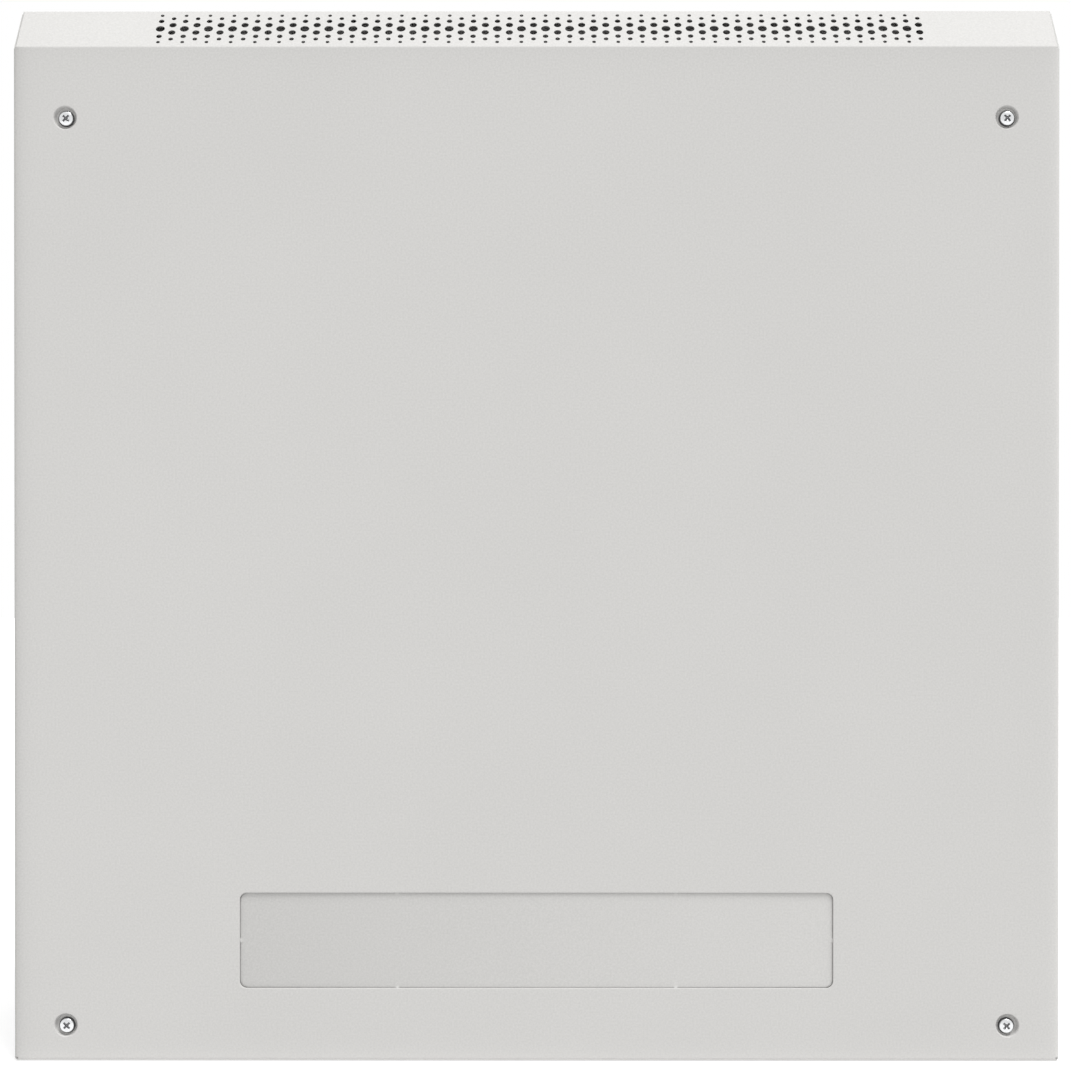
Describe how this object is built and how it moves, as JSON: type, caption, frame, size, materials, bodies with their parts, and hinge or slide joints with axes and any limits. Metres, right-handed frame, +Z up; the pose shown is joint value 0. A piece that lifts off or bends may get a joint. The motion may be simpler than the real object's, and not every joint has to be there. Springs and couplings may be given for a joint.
{
  "type": "wall-mounted network equipment cabinet",
  "caption": "Slim wall cabinet for network equipment: folded steel housing with rack brackets and cable entries, closed by a screwed front cover with a perforated sloping top edge.",
  "frame": {"origin": "middle of the width and of the depth, in the plane of the cabinet's base", "axes": "+X to the right seen from the front, +Y from the front cover towards the wall, +Z up"},
  "size_m": [0.6, 0.16, 0.6072],
  "materials": {
    "cover_paint": "light grey polyester powder coat, fine orange peel, satin",
    "housing_paint": "light grey polyester powder coat, fine orange peel, satin",
    "bare_steel": "zinc-plated sheet, dull",
    "bright_zinc": "bright zinc plate",
    "aluminium": "mill-finish extrusion",
    "nylon": "black nylon, matt",
    "rubber": "black extruded rubber",
    "bristle": "black nylon filament"
  },
  "bodies": {
    "housing": {"wall_left": "housing_paint", "wall_right": "housing_paint", "wall_bottom": "housing_paint", "wall_top": "housing_paint", "back_panel": "housing_paint", "entry_edge_trim": "rubber", "cover_post_top_left": "bare_steel", "cover_post_top_right": "bare_steel", "cover_post_bottom_left": "bare_steel", "cover_post_bottom_right": "bare_steel", "rivet_nut_top_left": "bright_zinc", "rivet_nut_top_right": "bright_zinc", "rivet_nut_bottom_left": "bright_zinc", "rivet_nut_bottom_right": "bright_zinc", "rack_bracket_left": "bare_steel", "cage_nut_left_front": "bright_zinc", "cage_nut_left_rear": "bright_zinc", "bracket_stud_left_lower": "bright_zinc", "bracket_nut_left_lower": "bright_zinc", "bracket_stud_left_upper": "bright_zinc", "bracket_nut_left_upper": "bright_zinc", "rack_bracket_right": "bare_steel", "cage_nut_right_front": "bright_zinc", "cage_nut_right_rear": "bright_zinc", "bracket_stud_right_lower": "bright_zinc", "bracket_nut_right_lower": "bright_zinc", "bracket_stud_right_upper": "bright_zinc", "bracket_nut_right_upper": "bright_zinc", "earth_stud": "bright_zinc", "earth_nut": "bright_zinc", "earth_washer": "bare_steel", "lacing_bar": "bare_steel", "lacing_bar_screw_left": "bright_zinc", "lacing_bar_screw_right": "bright_zinc", "brush_holder_front": "aluminium", "brush_bristles_front": "bristle", "brush_holder_rear": "aluminium", "brush_bristles_rear": "bristle"},
    "cover": {"front_cover": "cover_paint", "cover_stiffener_lower": "cover_paint", "cover_stiffener_upper": "cover_paint", "cover_earth_stud": "bright_zinc", "cover_earth_nut": "bright_zinc"},
    "washer_top_left": {"screw_washer_top_left": "nylon"},
    "screw_top_left": {"cover_screw_top_left": "bright_zinc"},
    "washer_top_right": {"screw_washer_top_right": "nylon"},
    "screw_top_right": {"cover_screw_top_right": "bright_zinc"},
    "washer_bottom_left": {"screw_washer_bottom_left": "nylon"},
    "screw_bottom_left": {"cover_screw_bottom_left": "bright_zinc"},
    "washer_bottom_right": {"screw_washer_bottom_right": "nylon"},
    "screw_bottom_right": {"cover_screw_bottom_right": "bright_zinc"}
  },
  "joints": [
    {"name": "cover_slide", "type": "slide", "parent": "housing", "child": "cover", "axis": [0, -1, 0], "range_m": [0, 0.2]},
    {"name": "screw_travel_top_left", "type": "slide", "parent": "cover", "child": "washer_top_left", "axis": [0, -1, 0], "range_m": [0, 0.00561]},
    {"name": "screw_turn_top_left", "type": "hinge", "parent": "washer_top_left", "child": "screw_top_left", "pos_m": [-0.27, -0.077, 0.541], "axis": [0, -1, 0], "range_deg": [0, 2880]},
    {"name": "screw_travel_top_right", "type": "slide", "parent": "cover", "child": "washer_top_right", "axis": [0, -1, 0], "range_m": [0, 0.00561]},
    {"name": "screw_turn_top_right", "type": "hinge", "parent": "washer_top_right", "child": "screw_top_right", "pos_m": [0.27, -0.077, 0.541], "axis": [0, -1, 0], "range_deg": [0, 2880]},
    {"name": "screw_travel_bottom_left", "type": "slide", "parent": "cover", "child": "washer_bottom_left", "axis": [0, -1, 0], "range_m": [0, 0.00561]},
    {"name": "screw_turn_bottom_left", "type": "hinge", "parent": "washer_bottom_left", "child": "screw_bottom_left", "pos_m": [-0.27, -0.077, 0.02], "axis": [0, -1, 0], "range_deg": [0, 2880]},
    {"name": "screw_travel_bottom_right", "type": "slide", "parent": "cover", "child": "washer_bottom_right", "axis": [0, -1, 0], "range_m": [0, 0.00561]},
    {"name": "screw_turn_bottom_right", "type": "hinge", "parent": "washer_bottom_right", "child": "screw_bottom_right", "pos_m": [0.27, -0.077, 0.02], "axis": [0, -1, 0], "range_deg": [0, 2880]}
  ],
  "couplings": [
    {"joint": "screw_travel_top_left", "follows": "screw_turn_top_left", "m_per_rad": 0.00011141},
    {"joint": "screw_travel_top_right", "follows": "screw_turn_top_right", "m_per_rad": 0.00011141},
    {"joint": "screw_travel_bottom_left", "follows": "screw_turn_bottom_left", "m_per_rad": 0.00011141},
    {"joint": "screw_travel_bottom_right", "follows": "screw_turn_bottom_right", "m_per_rad": 0.00011141}
  ]
}
